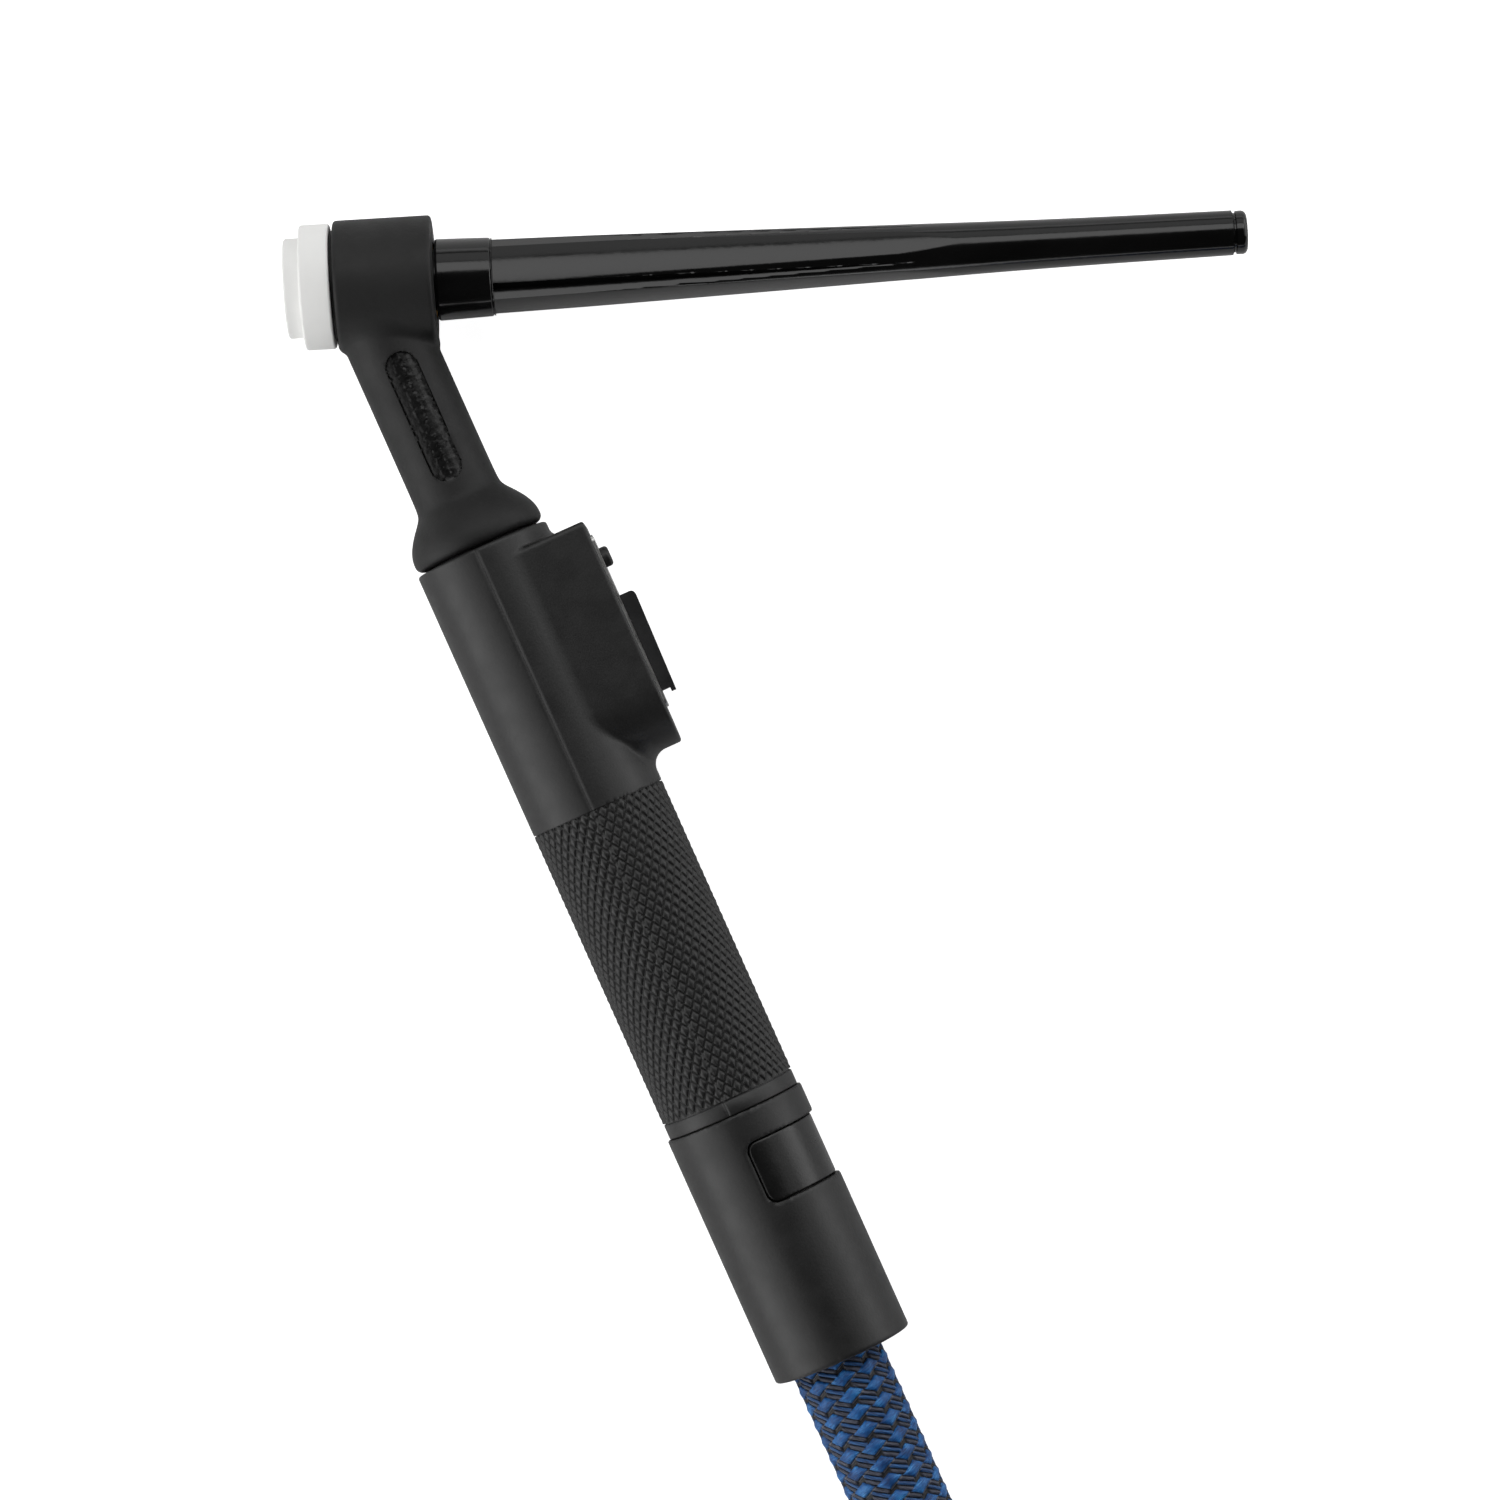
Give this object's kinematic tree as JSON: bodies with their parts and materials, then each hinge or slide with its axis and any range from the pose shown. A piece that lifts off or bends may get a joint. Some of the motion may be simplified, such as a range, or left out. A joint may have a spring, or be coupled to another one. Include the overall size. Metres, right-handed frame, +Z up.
{
  "type": "tig torch",
  "caption": "TIG welding torch with a knurled two-shell handle, switch module, angled rubber-covered head, long back cap and a braided cable set with a central connector.",
  "frame": {"origin": "on the surface that the torch lies on, under the centre of the torch's box without its cable", "axes": "+X towards the switch side and the back cap, +Y along the handle towards the head, +Z up from the surface that it lies on"},
  "size_m": [0.2318, 0.5057, 0.0713],
  "materials": {
    "shell_plastic": "satin black moulded plastic, diamond-knurled grip",
    "sleeve_plastic": "satin black moulded plastic",
    "head_rubber": "matt black rubber over brass",
    "gasket_white": "smooth white fluoropolymer",
    "cap_phenolic": "polished black phenolic",
    "button_plastic": "satin black plastic",
    "plate_metal": "bright stamped sheet",
    "steel": "bright steel",
    "brass": "turned brass",
    "copper": "drawn copper tube",
    "inner_plastic": "plain black moulding",
    "hose_rubber": "smooth black hose",
    "seal_rubber": "smooth black seal",
    "board_green": "green circuit board",
    "wire_red": "insulated wire",
    "braid_blue": "flat blue braid crossed by pairs of grey yarns",
    "tie_fabric": "black hook-and-loop strap",
    "boot_rubber": "matt black rubber boot",
    "plug_plastic": "satin black moulded plastic"
  },
  "bodies": {
    "torch": {"rear_shell": "shell_plastic", "front_shell": "shell_plastic", "rear_sleeve": "sleeve_plastic", "cable_bush": "inner_plastic", "power_hose": "hose_rubber", "hose_ferrule": "steel", "hose_union": "brass", "neck_tube": "copper", "head_body": "brass", "head_cover": "head_rubber", "cup_gasket": "gasket_white", "switch_plate": "plate_metal", "switch_carrier": "inner_plastic", "button_pin": "steel", "main_spring": "steel", "aux_spring": "steel", "circuit_board": "board_green", "main_switch": "inner_plastic", "aux_switch": "inner_plastic", "control_wires": "wire_red", "cable_lead": "braid_blue", "cable_coil": "braid_blue", "cable_tail": "braid_blue", "coil_tie": "tie_fabric", "plug_boot": "boot_rubber", "plug_body": "plug_plastic", "centre_pin": "brass", "control_pins": "brass"},
    "button": {"main_button": "button_plastic"},
    "small_button": {"aux_button": "button_plastic"},
    "seal": {"cap_seal": "seal_rubber"},
    "cap": {"back_cap": "cap_phenolic"},
    "nut": {"coupling_nut": "plug_plastic"}
  },
  "joints": [
    {"name": "button_press", "type": "hinge", "parent": "torch", "child": "button", "pos_m": [-0.04643, 0.02389, 0.0121], "axis": [0, 0, -1], "range_deg": [0, 3.6], "stiffness_Nm_per_rad": 0.3, "springref_deg": -2.86, "deforming": ["main_spring"]},
    {"name": "small_button_press", "type": "slide", "parent": "torch", "child": "small_button", "axis": [-1, 0, 0], "range_m": [0, 0.0006], "stiffness_N_per_m": 1200, "springref_m": -0.0003, "deforming": ["aux_spring"]},
    {"name": "cap_advance", "type": "slide", "parent": "torch", "child": "seal", "axis": [0.9351, -0.3543, 0], "range_m": [0, 0.0063]},
    {"name": "cap_turn", "type": "hinge", "parent": "seal", "child": "cap", "pos_m": [-0.05863, 0.08979, 0.0121], "axis": [0.9351, -0.3543, 0], "range_deg": [0, 1800]},
    {"name": "nut_turn", "type": "hinge", "parent": "torch", "child": "nut", "pos_m": [-0.04823, -0.33313, 0.05074], "axis": [0, -0.9936, 0.1131], "continuous": true}
  ],
  "couplings": [
    {"joint": "cap_advance", "follows": "cap_turn", "m_per_rad": 0.00019894}
  ]
}
